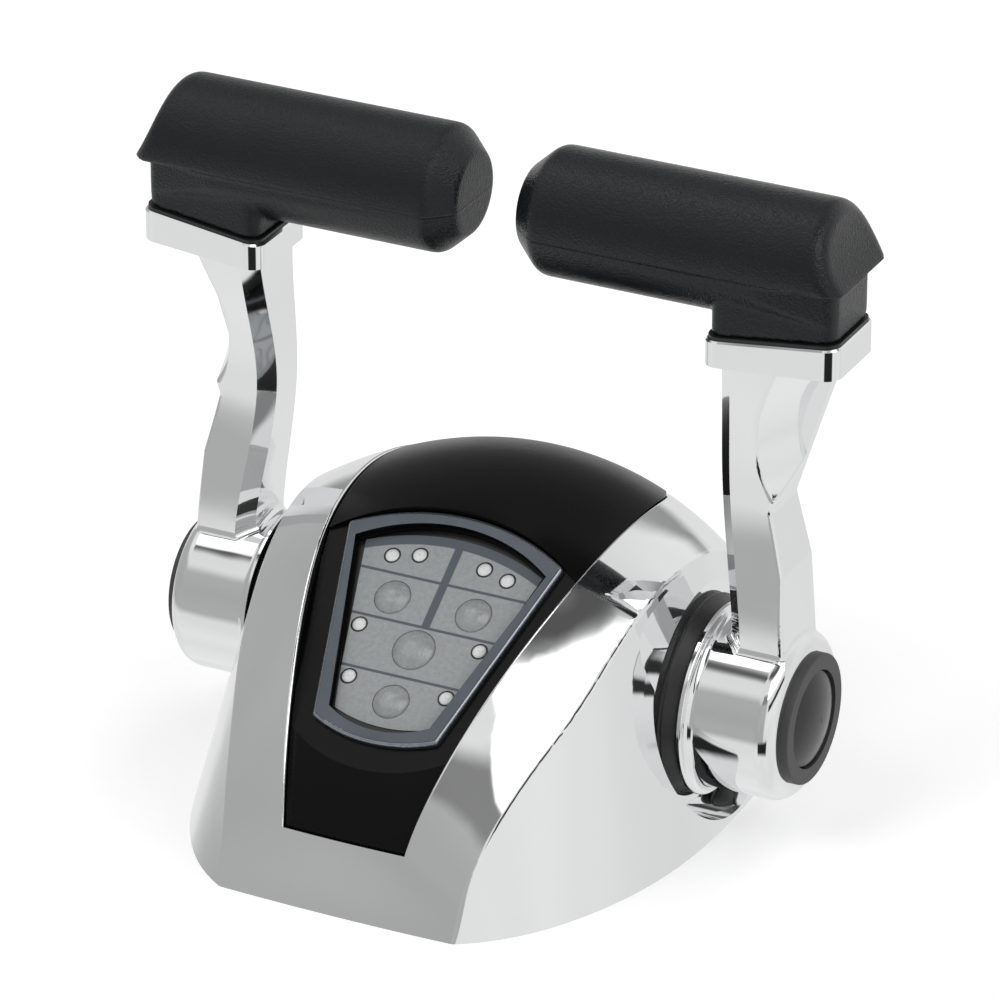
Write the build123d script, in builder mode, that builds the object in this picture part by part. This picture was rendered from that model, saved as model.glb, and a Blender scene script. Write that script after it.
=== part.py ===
"""Twin-lever throttle control head for a boat's helm.

A crowned, chromed shell stands on the dash and carries a glossy console insert with a small key
panel. On each side a hub turns on a shaft through the shell's wall and carries an arm with a
T-handle grip. Inside, a gear on each shaft drives the pinion of a rotary position sensor.

Frame: millimetres, +Z up, -Y towards the operator, +X to starboard. The origin is on the deck
plane, under the lever axis, in the middle of the bolt pattern.
"""
import os
from math import acos, atan2, cos, pi, radians, sin, sqrt, tan

from build123d import *

os.makedirs("parts", exist_ok=True)

# ---------------------------------------------------------------- driving dimensions
# Shell: plan outline at the deck and at the height where the leaning walls are measured again
base_half_width = 71.6          # widest, under the lever axis
front_length = 98.6             # from the lever axis to the front edge
rear_length = 74.0              # from the lever axis to the rear edge
front_half_width = 32.6         # half of the straight front edge
wall_height = 90.0              # height of the second outline
wall_lean_in = 18.6             # how far the wall leans in over that height, under the axis
front_lean_in = 17.0            # the same, at the front edge
front_corner_lean = 10.3        # the same, sideways at the front corner
rear_lean_in = 21.0             # the same, at the rear edge
shell_thickness = 3.6
crease_fillet = 2.5             # along the edge between the walls and the crown
window_edge_fillet = 0.6
wall_shape = (                  # shares of half width and length, shares of the lean across and along
    (0.673, -0.871, 1.20, 0.94),
    (0.852, -0.654, 1.23, 0.62),
    (0.947, -0.447, 1.19, 0.31),
    (1.0, 0.0, 1.0, 0.0),
    (0.89, 0.57, 1.02, -0.45),
    (0.53, 0.92, 0.65, -1.00),
)

# Crown: arcs across the shell, set round an axis that lies behind and below the skin
crown_axis_y = 2.0
crown_axis_z = -16.0
crown_sections = (              # angle forward of vertical, radius at the middle, crown radius
    (84.0, 103.0, 900.0),
    (70.0, 102.1, 170.0),
    (56.0, 102.3, 98.0),
    (39.0, 102.6, 94.0),
    (20.0, 103.6, 112.0),
    (0.0, 104.6, 105.0),
    (-20.0, 100.5, 92.0),
    (-45.0, 91.0, 96.0),
    (-75.0, 82.0, 104.0),
)
crown_core_radius = 14.0        # inner edge of the crown's sections
crown_core_overlap = 1.5        # of the round core over the sections

# Console insert and its window in the shell
window_front_angle = 69.4       # the window's front edge, forward of vertical
window_half_widths = (          # distance aft of the lever axis, half width
    (-100.0, 14.3),
    (-82.2, 21.7),
    (-56.9, 30.4),
    (-34.5, 36.1),
    (-1.7, 39.5),
    (33.4, 33.7),
    (50.0, 19.0),
)
window_rear = 55.0
insert_gap = 0.3                # round the insert in its window
insert_sink_front = 2.5         # the insert's surface below the skin, at its front edge
insert_sink_top = 0.8           # the same, at the top
insert_depth = 18.0             # from the skin to the insert's underside, under the key panel
insert_top_depth = 8.0          # the same, further aft
insert_step_y = -12.0           # where the one turns into the other
insert_flange = 3.5             # flange under the shell's edge

# Key panel
keypad_slope = 34.5             # degrees from level
keypad_centre_y = -50.95
keypad_centre_z = 60.95
keypad_half_length = 28.85      # along the slope, to the corners
keypad_top_half_width = 31.9
keypad_bottom_half_width = 18.4
keypad_top_rise = 8.8           # of the arc that closes the panel at the top
keypad_bottom_rise = 4.1
bezel_width = 3.6
bezel_height = 1.9              # above the flat that it stands on
bezel_corner = 1.5
bezel_edge_fillet = 1.0
bezel_inner_drop = 1.3          # the key sheet below the bezel's top
overlay_thickness = 0.6
board_thickness = 1.6
board_drop = 3.4                # the board's top below the key sheet's top
button_radius = 4.9
button_dome = 1.1               # height of a key's dome over the key sheet
button_gap = 0.3
button_travel = 0.7
switch_gap = 0.1                # left under a key at the end of its travel
switch_height = 0.8
key_places = {                  # across, up the slope
    "button_upper_left": (-12.0, 9.7),
    "button_upper_right": (12.0, 9.7),
    "button_middle": (0.0, -4.0),
    "button_lower": (0.0, -20.7),
}
led_places = ((9.4, 23.4), (17.0, 21.7), (17.7, 0.0), (14.4, -15.3))
led_radius = 1.9
led_stand = 0.35                # above the key sheet

# Levers
lever_height = 33.7             # of the lever axis over the deck
hub_radius = 23.5
hub_inner = 65.0                # distance of the hub's inner face from the middle plane
hub_outer = 90.9
hub_edge_fillet = 5.0
hub_flare_radius = 26.5         # lip at the hub's inner end
hub_flare_width = 1.2
hub_flare_fillet = 2.2          # from the lip to the drum
hub_flare_edge = 0.5
seat_face = 59.4                # face of the shell's hub seat
seat_radius = 31.0
seat_slope_depth = 5.5          # the seat's foot slopes away over this depth
seat_slope_spread = 14.0        # and over this radius
seat_foot_spread = 18.0         # radius beyond the seat, at the bushing's inner end
seat_wall = 4.0                 # behind the seat and the bushing
seat_pocket_radius = 32.0
pocket_gap = 0.6                # between the seat's rim and the pocket
seal_inner_radius = 13.0
seal_outer_radius = 27.2
seal_lip = 0.8                  # of the seal's edge beyond that radius
seal_lip_depth = 1.5            # from the seat to that edge
seal_taper = 2.2                # the radius falls by this much towards the hub
seal_fillet = 0.7
seal_gap = 0.4                  # between the seal and the hub
ring_radius = 18.0
ring_inner_radius = 13.6
ring_stand = 2.3                # the ring's face beyond the hub's
ring_depth = 2.0                # groove in the hub's face
cap_radius = 13.2
cap_edge = 1.6                  # the cap's rim beyond the hub's face
cap_dome = 2.6
ring_edge_fillet = 0.6
hub_screw_radius = 2.5
hub_screw_head_radius = 5.0
hub_screw_head = 3.5
hub_screw_pocket = 6.0          # depth of the screw's seat in the hub's face
hub_screw_length = 12.0

arm_root_inner = 72.2
arm_root_slant = 0.7            # the inner side has come in by this much above the hub
arm_root_rise = 3.0             # height over the hub where the arm's curves begin
arm_foot_outer = 89.4           # outer side at the lever axis
arm_root_outer = 86.6           # outer side at the elbow
arm_front = 10.4                # the arm's front and rear faces at the hub, from the axis
arm_rear = 12.0
elbow_height = 77.5             # of the crease on the arm's outer side
waist_height = 95.0
waist_inner = 66.4
waist_outer = 82.2
waist_front = 6.6
waist_rear = 11.0
arm_top_height = 140.0
arm_top_inner = 68.0
arm_top_outer = 96.2
arm_top_front = 12.4
arm_top_rear = 12.6
arm_inner_bevel = 4.0           # along the arm's inner front edge
arm_inner_fillet = 2.5          # along its inner rear edge
arm_outer_fillet = 1.2          # along its outer edges, below the elbow
arm_root_fillet = 2.5           # between the arm and the hub
elbow_fillet = 1.5
waist_fillet = 3.0
scoop_edge_fillet = 1.6
scoop_angle = 25.0              # the outer scoop runs aft and outboard at this angle
scoop_rim = 4.6                 # rim left behind the scoop
scoop_waist = 76.9              # how far in the scoop reaches
scoop_curve = (                 # outboard of that, and over the waist
    (10.8, 53.0),
    (7.8, 41.0),
    (1.6, 27.0),
    (0.0, 17.0),
    (1.4, 9.0),
    (5.1, 2.5),
    (11.2, -5.0),
)

collar_inner = 64.8
collar_outer = 102.3
collar_front_inner = 15.3       # the collar's front face is a little askew
collar_front_outer = 11.8
collar_rear = 13.8
collar_bottom = 138.0
collar_height_inner = 7.2
collar_height_outer = 8.8
collar_bottom_rise = 1.4        # of its lower edge, from the inner to the outer end
collar_corner = 4.5
collar_edge = 0.5

gasket_inset = 1.4              # the grip's neck inside the collar's outline
gasket_thickness = 1.0
grip_height = 165.8             # of the handle's axis over the deck
grip_aft = 2.0                  # of the handle's axis behind the lever axis
grip_radius = 17.6
grip_inner = 8.6                # inner end, from the middle plane
grip_end_radius = 11.2          # of the flat inner end
grip_taper = 7.0                # length of the tapered inner end
grip_inner_fillet = 4.0
grip_parting_drop = 2.0         # of the mould's parting plane under the handle's axis
grip_lip = 103.6                # the outer end at the parting plane, where it overhangs the neck
grip_end_top = 97.0             # the outer end at the top
grip_end_bulge = 1.8            # of the outer end between the two
grip_end_fillet = 4.5           # round the outer end's rim, above the parting plane
grip_foot_start = 80.0          # where the underside begins to narrow towards the neck
grip_foot_side = 1.0            # the underside inside the bar's width, there
grip_foot_corner = 4.0
grip_rim_fillet = 1.0           # round the flat inner end
grip_collar_gap = 0.5           # between the handle's underside and the collar

# Shaft, bearings and drive
shaft_radius = 6.0
shaft_in_hub = 17.0             # length of the shaft inside the hub
running_clearance = 0.05
fixed_gap = 0.02                # round pins and screws that are held
bushing_radius = 9.0
bushing_flange_radius = 12.5
bushing_flange = 1.5
bushing_length = 10.0
bracket_ear_x = 24.0            # inner face of the bracket's ears, from the middle plane
bracket_thickness = 4.0
bracket_half_length = 21.0
shaft_end_stand = 2.5           # of the shaft inside the ear
gear_module = 1.25
gear_teeth = 32
pinion_teeth = 16
gear_width = 6.0
pinion_width = 8.0
pressure_angle = 20.0
gear_backlash = 0.35
gear_inner = 34.0               # the gear's inner face, from the middle plane
gear_boss_radius = 11.0
gear_boss_length = 5.0
sensor_shaft_radius = 2.5
sensor_radius = 11.0
sensor_length = 9.0
shoe_gap = 0.3
shoe_width = 8.0

# Base
base_thickness = 4.0
gasket_height = 1.0
base_gap = 0.4                  # between the base plate and the shell
bolt_spacing_x = 78.0
bolt_spacing_y = 76.0
bolt_hole_radius = 3.0
bolt_boss_radius = 6.5
bolt_boss_height = 7.0
cable_outlet_radius = 13.0
post_radius = 5.0
post_screw_radius = 1.6
post_places = ((43.0, -60.0), (44.0, 52.0))
screw_head_radius = 3.2
screw_head_height = 1.8
screw_length = 12.0
bracket_screw_radius = 2.0
bracket_screw_places = ((19.0, -15.0), (-19.0, -15.0), (19.0, 34.0), (-19.0, 34.0))

# ---------------------------------------------------------------- worked-out sizes
base_top = gasket_height + base_thickness
gear_pitch_radius = gear_module * gear_teeth / 2
pinion_pitch_radius = gear_module * pinion_teeth / 2
pinion_y = gear_pitch_radius + pinion_pitch_radius
overlay_drop = bezel_height - bezel_inner_drop      # the key sheet's top over the flat
keypad_plane = Plane(
    origin=(0, keypad_centre_y, keypad_centre_z),
    x_dir=(1, 0, 0),
    z_dir=(0, -sin(radians(keypad_slope)), cos(radians(keypad_slope))),
)
flat_plane = keypad_plane.offset(-bezel_height)
keypad_axis = Axis(flat_plane.origin, flat_plane.z_dir)


# ---------------------------------------------------------------- shell forms
def crown(depth, shift_back=0.0):
    """Solid under the crowned skin, sunk by depth and moved aft by shift_back."""
    half = base_half_width + 2
    with BuildPart() as body:
        for angle, radius, crown_radius in crown_sections:
            a = radians(angle)
            section = Plane(
                origin=(0, crown_axis_y + shift_back, crown_axis_z),
                x_dir=(1, 0, 0),
                z_dir=(0, -cos(a), -sin(a)),
            )
            top = radius - depth
            arc_radius = crown_radius - depth
            edge = top - arc_radius + sqrt(arc_radius**2 - half**2)
            with BuildSketch(section):
                with BuildLine():
                    Line((-half, crown_core_radius), (-half, edge))
                    ThreePointArc((-half, edge), (0, top), (half, edge))
                    Line((half, edge), (half, crown_core_radius))
                    Line((half, crown_core_radius), (-half, crown_core_radius))
                make_face()
        loft()
        core_place = Location((0, crown_axis_y + shift_back, crown_axis_z), (0, 90, 0))
        with Locations(core_place):
            Cylinder(crown_core_radius + crown_core_overlap, 2 * half)
    return body.part


def wall_outline(inset, lean):
    """Plan outline of the walls, moved in by an inset and by a share of their lean."""
    front = front_length - inset
    rear = rear_length - inset
    side = base_half_width - inset
    corner = (front_half_width - 0.4 * inset - lean * front_corner_lean, -front + lean * front_lean_in)
    starboard = [corner]
    for share_x, share_y, lean_x, lean_y in wall_shape:
        length = front if share_y < 0 else rear
        x = share_x * side - lean * lean_x * wall_lean_in
        y = share_y * length + lean * lean_y * wall_lean_in
        starboard.append((x, y))
    port = [(-x, y) for x, y in reversed(starboard)]
    stern = (0, rear - lean * rear_lean_in)
    with BuildLine() as outline:
        Line(port[-1], starboard[0])
        Spline(*starboard, stern, *port)
    return outline.line


def walls(inset):
    """Solid inside the leaning walls, moved in by the inset."""
    with BuildPart() as body:
        for share in (0, 1):
            with BuildSketch(Plane.XY.offset(share * wall_height)):
                add(wall_outline(inset, share))
                make_face()
        loft(ruled=True)
    return body.part


def window_outline(outset):
    """Plan outline of the console window, moved out by outset; it runs past the front edge."""
    starboard = [(half + outset, y) for y, half in window_half_widths]
    port = [(-x, y) for x, y in reversed(starboard)]
    with BuildLine() as outline:
        Line(port[-1], starboard[0])
        Spline(*starboard, (0, window_rear + outset), *port)
    return outline.line


def window_prism(outset):
    """Upright prism over the console window, ended in front by a face square to the skin."""
    edge = radians(window_front_angle) + outset / crown_sections[0][1]
    front_cut = Plane(
        origin=(0, crown_axis_y, crown_axis_z),
        x_dir=(1, 0, 0),
        z_dir=(0, cos(edge), sin(edge)),
    )
    with BuildPart() as prism:
        with BuildSketch():
            add(window_outline(outset))
            make_face()
        extrude(amount=wall_height + 20)
        split(bisect_by=front_cut, keep=Keep.TOP)
    return prism.part


def keypad_outline(outset):
    """Outline of the key panel on its own plane, moved out by outset."""
    top_half = keypad_top_half_width + outset
    bottom_half = keypad_bottom_half_width + outset
    top = keypad_half_length + outset
    bottom = -keypad_half_length - outset
    with BuildLine() as outline:
        Line((bottom_half, bottom), (top_half, top))
        ThreePointArc((top_half, top), (0, top + keypad_top_rise), (-top_half, top))
        Line((-top_half, top), (-bottom_half, bottom))
        ThreePointArc((-bottom_half, bottom), (0, bottom - keypad_bottom_rise), (bottom_half, bottom))
    return outline.line


def save(piece, name):
    """Label a finished piece and write it."""
    piece.label = name
    export_step(piece, f"parts/{name}.step")


def save_pair(piece, name):
    """Write a starboard piece and its mirror image for the port side."""
    save(piece, f"starboard_{name}")
    save(piece.mirror(Plane.YZ), f"port_{name}")


def edge_near(builder, x, y, z):
    """The edge of a piece under construction that passes nearest to a point."""
    return builder.edges().sort_by_distance((x, y, z))[0]


def across(x, y=0.0, z=lever_height):
    """Place on the line through (y, z) that runs athwartships, facing starboard."""
    return Location((x, y, z), (0, 90, 0))


# ---------------------------------------------------------------- housing
skin = crown(0)
with BuildPart() as outer_form:
    add(walls(0))
    add(skin, mode=Mode.INTERSECT)
    fillet(outer_form.edges().sort_by(SortBy.LENGTH)[-1], crease_fillet)

# The seats that the hubs turn on: a boss with a sloping foot on each side, under the skin
with BuildPart() as seat_bosses:
    with BuildSketch(Plane.XZ) as seat_profile:
        with BuildLine():
            Polyline(
                (seat_face - bushing_length, lever_height),
                (seat_face - bushing_length, lever_height + seat_radius + seat_foot_spread),
                (seat_face - seat_slope_depth, lever_height + seat_radius + seat_slope_spread),
                (seat_face, lever_height + seat_radius),
                (seat_face, lever_height),
                (seat_face - bushing_length, lever_height),
            )
        make_face()
    revolve(axis=Axis((0, 0, lever_height), (1, 0, 0)))
    mirror(about=Plane.YZ)
    split(bisect_by=Plane.XY.offset(base_top + base_gap), keep=Keep.TOP)
    add(skin, mode=Mode.INTERSECT)

# Thick wall behind each seat, out to the leaning wall
with BuildPart() as seat_blocks:
    with Locations(across(seat_face + seat_wall)):
        Cylinder(seat_pocket_radius + shell_thickness, 2 * (bushing_length + seat_wall))
    mirror(about=Plane.YZ)
    add(outer_form.part, mode=Mode.INTERSECT)

# Posts that take the base screws
with BuildPart() as posts:
    with BuildSketch(Plane.XY.offset(base_top)):
        for x, y in post_places:
            with Locations((x, y), (-x, y)):
                Circle(post_radius)
    extrude(amount=wall_height)
    add(outer_form.part, mode=Mode.INTERSECT)

# What the levers' seals and hubs turn in: a round pocket in each leaning wall
with BuildPart() as seat_pockets:
    with BuildSketch(Plane.XZ):
        with BuildLine():
            Polyline(
                (seat_face, lever_height),
                (seat_face, lever_height + seat_radius + pocket_gap),
                (base_half_width + 2, lever_height + seat_pocket_radius + pocket_gap),
                (base_half_width + 2, lever_height),
                (seat_face, lever_height),
            )
        make_face()
    revolve(axis=Axis((0, 0, lever_height), (1, 0, 0)))
    mirror(about=Plane.YZ)

with BuildPart() as housing:
    add(outer_form.part)
    add(window_prism(0), mode=Mode.SUBTRACT)
    fillet(housing.edges().sort_by(Axis.Z)[-1], window_edge_fillet)
    add(walls(shell_thickness) & crown(shell_thickness), mode=Mode.SUBTRACT)
    add(seat_blocks.part)
    add(seat_bosses.part)
    add(posts.part)
    add(window_prism(0), mode=Mode.SUBTRACT)
    add(seat_pockets.part, mode=Mode.SUBTRACT)
    for side in (1, -1):
        with Locations(across(side * seat_face)):
            Cylinder(bushing_radius, 4 * bushing_length, mode=Mode.SUBTRACT)
    with BuildSketch(Plane.XY.offset(base_top)):
        for x, y in post_places:
            with Locations((x, y), (-x, y)):
                Circle(post_screw_radius)
    extrude(amount=screw_length - base_thickness, mode=Mode.SUBTRACT)
save(housing.part, "housing")

# ---------------------------------------------------------------- console insert
insert_shift = (insert_sink_front - insert_sink_top) / sin(radians(window_front_angle))
flat_radius = (keypad_top_half_width**2 + keypad_top_rise**2) / (2 * keypad_top_rise) + insert_gap
flat_middle = keypad_half_length + keypad_top_rise + insert_gap - flat_radius
pocket_outset = -bezel_width - 0.5
board_top = overlay_drop - board_drop               # over the flat
key_sole = board_top + switch_height + button_travel + switch_gap

with BuildPart() as insert_flange_form:
    add(window_prism(insert_flange))
    add(crown(shell_thickness + insert_gap), mode=Mode.INTERSECT)
    add(walls(shell_thickness + insert_gap), mode=Mode.INTERSECT)

with BuildPart() as insert_hollow:
    with Locations((0, insert_step_y, 0)):
        Box(
            4 * base_half_width,
            2 * rear_length,
            2 * wall_height,
            align=(Align.CENTER, Align.MIN, Align.CENTER),
        )
    add(crown(insert_top_depth), mode=Mode.INTERSECT)

with BuildPart() as console_insert:
    add(window_prism(-insert_gap))
    add(crown(insert_sink_top, insert_shift), mode=Mode.INTERSECT)
    add(insert_flange_form.part)
    add(crown(insert_depth), mode=Mode.SUBTRACT)
    add(insert_hollow.part, mode=Mode.SUBTRACT)
    # flat that the key panel lies on, ended by an arc round the panel's top
    with BuildSketch(flat_plane):
        with Locations((0, flat_middle)):
            Circle(flat_radius)
    extrude(amount=wall_height, mode=Mode.SUBTRACT)
    # pocket for the circuit board
    with BuildSketch(flat_plane):
        add(keypad_outline(pocket_outset))
        make_face()
    extrude(amount=board_top - board_thickness, mode=Mode.SUBTRACT)
save(console_insert.part, "console_insert")

with BuildPart() as keypad_bezel:
    with BuildSketch(flat_plane) as bezel_shape:
        add(keypad_outline(0))
        make_face()
        fillet(bezel_shape.vertices(), bezel_corner)
    extrude(amount=bezel_height)
    fillet(keypad_bezel.faces().sort_by(keypad_axis)[-1].edges(), bezel_edge_fillet)
    with BuildSketch(flat_plane):
        add(keypad_outline(-bezel_width))
        make_face()
    extrude(amount=bezel_height, mode=Mode.SUBTRACT)
save(keypad_bezel.part, "keypad_bezel")

led_spots = [(side * x, y) for side in (1, -1) for x, y in led_places]
with BuildPart() as keypad_overlay:
    with BuildSketch(flat_plane.offset(overlay_drop - overlay_thickness)):
        add(keypad_outline(-bezel_width - 0.15))
        make_face()
        with Locations(*key_places.values()):
            Circle(button_radius + button_gap, mode=Mode.SUBTRACT)
        with Locations(*led_spots):
            Circle(led_radius + running_clearance, mode=Mode.SUBTRACT)
    extrude(amount=overlay_thickness)
save(keypad_overlay.part, "keypad_overlay")

with BuildPart() as keypad_circuit_board:
    with BuildSketch(flat_plane.offset(board_top - board_thickness)):
        add(keypad_outline(pocket_outset - insert_gap))
        make_face()
    extrude(amount=board_thickness)
    with BuildSketch(flat_plane.offset(board_top)):
        with Locations(*key_places.values()):
            Circle(0.5 * button_radius)
    extrude(amount=switch_height)
save(keypad_circuit_board.part, "keypad_circuit_board")

with BuildPart() as led_lenses:
    with BuildSketch(flat_plane.offset(board_top)):
        with Locations(*led_spots):
            Circle(led_radius)
    extrude(amount=board_drop + led_stand)
    chamfer(led_lenses.edges().group_by(keypad_axis)[-1], 0.3)
save(led_lenses.part, "led_lenses")

# Keys: a domed button with a collar under the key sheet
dome_radius = (button_radius**2 + button_dome**2) / (2 * button_dome)
for key, (key_x, key_y) in key_places.items():
    key_origin = flat_plane.offset(overlay_drop).from_local_coords((key_x, key_y, 0))
    upright = Plane(origin=key_origin, x_dir=(1, 0, 0), z_dir=-flat_plane.y_dir)
    sole = key_sole - overlay_drop
    with BuildPart() as button:
        with BuildSketch(upright):
            with BuildLine():
                Polyline(
                    (0, button_dome),
                    (0, sole),
                    (button_radius + 0.9, sole),
                    (button_radius + 0.9, -overlay_thickness - button_gap),
                    (button_radius, -overlay_thickness - button_gap),
                    (button_radius, 0),
                )
                RadiusArc((button_radius, 0), (0, button_dome), -dome_radius)
            make_face()
        revolve(axis=Axis(key_origin, flat_plane.z_dir))
    save(button.part, key)

# ---------------------------------------------------------------- levers (starboard, then mirrored)
collar_span = collar_outer - collar_inner


def slanted(inner_height, outer_height):
    """Plane that rises outboard from the collar's inner end to its outer end."""
    rise = atan2(outer_height - inner_height, collar_span)
    return Plane(
        origin=(collar_inner, 0, inner_height),
        x_dir=(cos(rise), 0, sin(rise)),
        z_dir=(-sin(rise), 0, cos(rise)),
    )


collar_foot = slanted(collar_bottom, collar_bottom + collar_bottom_rise)
collar_head = slanted(
    collar_bottom + collar_height_inner,
    collar_bottom + collar_bottom_rise + collar_height_outer,
)


def collar_outline(inset):
    """Sketch of the collar from above, moved in by the inset."""
    with BuildSketch() as outline:
        with BuildLine():
            Polyline(
                (collar_inner + inset, -collar_front_inner + inset),
                (collar_outer - inset, -collar_front_outer + inset),
                (collar_outer - inset, collar_rear - inset),
                (collar_inner + inset, collar_rear - inset),
                close=True,
            )
        make_face()
        fillet(outline.vertices(), collar_corner - 0.5 * inset)
    return outline.sketch


# The arm: what its front view and its side view have in common
curve_start = lever_height + hub_radius + arm_root_rise
with BuildPart() as arm:
    with BuildSketch(Plane.XZ) as front_view:
        with BuildLine():
            Polyline(
                (arm_root_inner, lever_height),
                (arm_foot_outer, lever_height),
                (arm_root_outer, elbow_height),
                (waist_outer, waist_height),
                (arm_top_outer, arm_top_height),
                (arm_top_inner, arm_top_height),
            )
            Spline(
                (arm_top_inner, arm_top_height),
                (waist_inner, waist_height + 4),
                (arm_root_inner - arm_root_slant, curve_start),
                (arm_root_inner, lever_height),
                tangents=((0, -1), (0, -1)),
            )
        make_face()
        waist = front_view.vertices().sort_by_distance((waist_outer, waist_height))[0]
        fillet(waist, waist_fillet)
        elbow = front_view.vertices().sort_by_distance((arm_root_outer, elbow_height))[0]
        fillet(elbow, elbow_fillet)
    extrude(amount=2 * arm_rear, both=True)
    with BuildSketch(Plane.YZ):
        with BuildLine():
            Line((-arm_front, lever_height), (arm_rear, lever_height))
            Spline(
                (arm_rear, lever_height),
                (arm_rear, curve_start),
                (waist_rear, waist_height),
                (arm_top_rear, arm_top_height),
                tangents=((0, 1), (0.1, 1)),
            )
            Line((arm_top_rear, arm_top_height), (-arm_top_front, arm_top_height))
            Spline(
                (-arm_top_front, arm_top_height),
                (-waist_front, waist_height + 4),
                (-arm_front, curve_start),
                (-arm_front, lever_height),
                tangents=((0.12, -1), (0, -1)),
            )
        make_face()
    extrude(amount=2 * base_half_width, mode=Mode.INTERSECT)
    # scoop in the outer side, from the waist up, with a rim left behind it
    scoop_dir = Vector(sin(radians(scoop_angle)), cos(radians(scoop_angle)), 0)
    scoop_reach = (waist_rear - scoop_rim + arm_front) / cos(radians(scoop_angle))
    scoop_points = [(scoop_waist + x, waist_height + z) for x, z in scoop_curve]
    with BuildSketch(Plane.XZ.offset(arm_front)):
        with BuildLine():
            Spline(*scoop_points)
            Polyline(
                scoop_points[-1],
                (2 * arm_top_outer, scoop_points[-1][1]),
                (2 * arm_top_outer, scoop_points[0][1]),
                scoop_points[0],
            )
        make_face()
    extrude(amount=scoop_reach, dir=scoop_dir, both=True, mode=Mode.SUBTRACT)
    split(bisect_by=collar_foot, keep=Keep.BOTTOM)
    inner_waist = (waist_inner, waist_height + 4)
    chamfer(edge_near(arm, inner_waist[0], -waist_front, inner_waist[1]), arm_inner_bevel)
    fillet(edge_near(arm, inner_waist[0], waist_rear, inner_waist[1]), arm_inner_fillet)
    below_elbow = ((arm_foot_outer + arm_root_outer) / 2, (curve_start + elbow_height) / 2)
    for y in (-arm_front, arm_rear):
        fillet(edge_near(arm, below_elbow[0], y, below_elbow[1]), arm_outer_fillet)
    scoop_middle = (scoop_waist, waist_height + scoop_curve[3][1])
    fillet(edge_near(arm, scoop_middle[0], -waist_front, scoop_middle[1]), scoop_edge_fillet)

# Hub: a drum with a lip at its inner end and a rounded outer edge
with BuildPart() as lever_arm:
    with BuildSketch(Plane.XZ) as hub_profile:
        lip_end = (hub_inner + hub_flare_width, lever_height - hub_flare_radius)
        lip_foot = (hub_inner + hub_flare_width, lever_height - hub_radius)
        outer_rim = (hub_outer, lever_height - hub_radius)
        with BuildLine():
            Polyline(
                (hub_inner, lever_height),
                (hub_inner, lever_height - hub_flare_radius),
                lip_end,
                lip_foot,
                outer_rim,
                (hub_outer, lever_height),
                close=True,
            )
        make_face()
        for corner, size in (
            (lip_foot, hub_flare_fillet),
            (lip_end, hub_flare_edge),
            (outer_rim, hub_edge_fillet),
        ):
            fillet(hub_profile.vertices().sort_by_distance(corner)[0], size)
    revolve(axis=Axis((0, 0, lever_height), (1, 0, 0)))
    # the arm stands on the hub, with a blend round its foot
    add(arm.part)
    joint = lever_arm.edges().filter_by(GeomType.BSPLINE)
    joint = joint.filter_by_position(Axis.Z, lever_height + arm_front, lever_height + hub_radius)
    fillet(joint, arm_root_fillet)
    # bored for the shaft and its screw, and recessed for the ring and the cap
    with Locations(across(hub_outer)):
        Cylinder(ring_radius, 2 * ring_depth, mode=Mode.SUBTRACT)
        Cylinder(hub_screw_head_radius + 0.5, 2 * hub_screw_pocket, mode=Mode.SUBTRACT)
        Cylinder(hub_screw_radius, 2 * (hub_outer - hub_inner), mode=Mode.SUBTRACT)
    with Locations(across(hub_inner)):
        Cylinder(shaft_radius, 2 * shaft_in_hub, mode=Mode.SUBTRACT)
save_pair(lever_arm.part, "lever_arm")

with BuildPart() as collar:
    with BuildSketch(Plane.XY.offset(collar_bottom - 5)):
        add(collar_outline(0))
    extrude(amount=30)
    split(bisect_by=collar_foot, keep=Keep.TOP)
    split(bisect_by=collar_head, keep=Keep.BOTTOM)
    chamfer(collar.faces().sort_by(Axis.Z)[-1].edges(), collar_edge)
save_pair(collar.part, "lever_collar")

gasket_head = collar_head.offset(gasket_thickness)
with BuildPart() as grip_gasket:
    with BuildSketch(Plane.XY.offset(collar_bottom)):
        add(collar_outline(gasket_inset / 2))
    extrude(amount=30)
    split(bisect_by=collar_head, keep=Keep.TOP)
    split(bisect_by=gasket_head, keep=Keep.BOTTOM)
save_pair(grip_gasket.part, "grip_gasket")

# Grip: a bar across the top of the lever, on a neck
parting = grip_height - grip_parting_drop
grip_top = grip_height + grip_radius + 1
neck_outer = collar_outer - gasket_inset

with BuildPart() as neck:
    with BuildSketch(Plane.XY.offset(collar_bottom)):
        add(collar_outline(gasket_inset))
    extrude(amount=parting - collar_bottom)
    split(bisect_by=gasket_head, keep=Keep.TOP)

with BuildPart() as collar_room:
    with BuildSketch(Plane.XY.offset(collar_bottom)):
        add(collar_outline(-grip_collar_gap))
    extrude(amount=parting - collar_bottom)
    split(bisect_by=gasket_head, keep=Keep.BOTTOM)

end_rim = (grip_inner, grip_height - grip_end_radius)
shoulder = (grip_inner + grip_taper, grip_height - grip_radius)
with BuildPart() as bar:
    with BuildSketch(Plane.XZ.offset(-grip_aft)) as grip_profile:
        with BuildLine():
            Polyline(
                (grip_inner, grip_height),
                end_rim,
                shoulder,
                (grip_lip, grip_height - grip_radius),
                (grip_lip, grip_height),
                close=True,
            )
        make_face()
        fillet(grip_profile.vertices().sort_by_distance(shoulder)[0], grip_inner_fillet)
        fillet(grip_profile.vertices().sort_by_distance(end_rim)[0], grip_rim_fillet)
    revolve(axis=Axis((0, grip_aft, grip_height), (1, 0, 0)))

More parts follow.
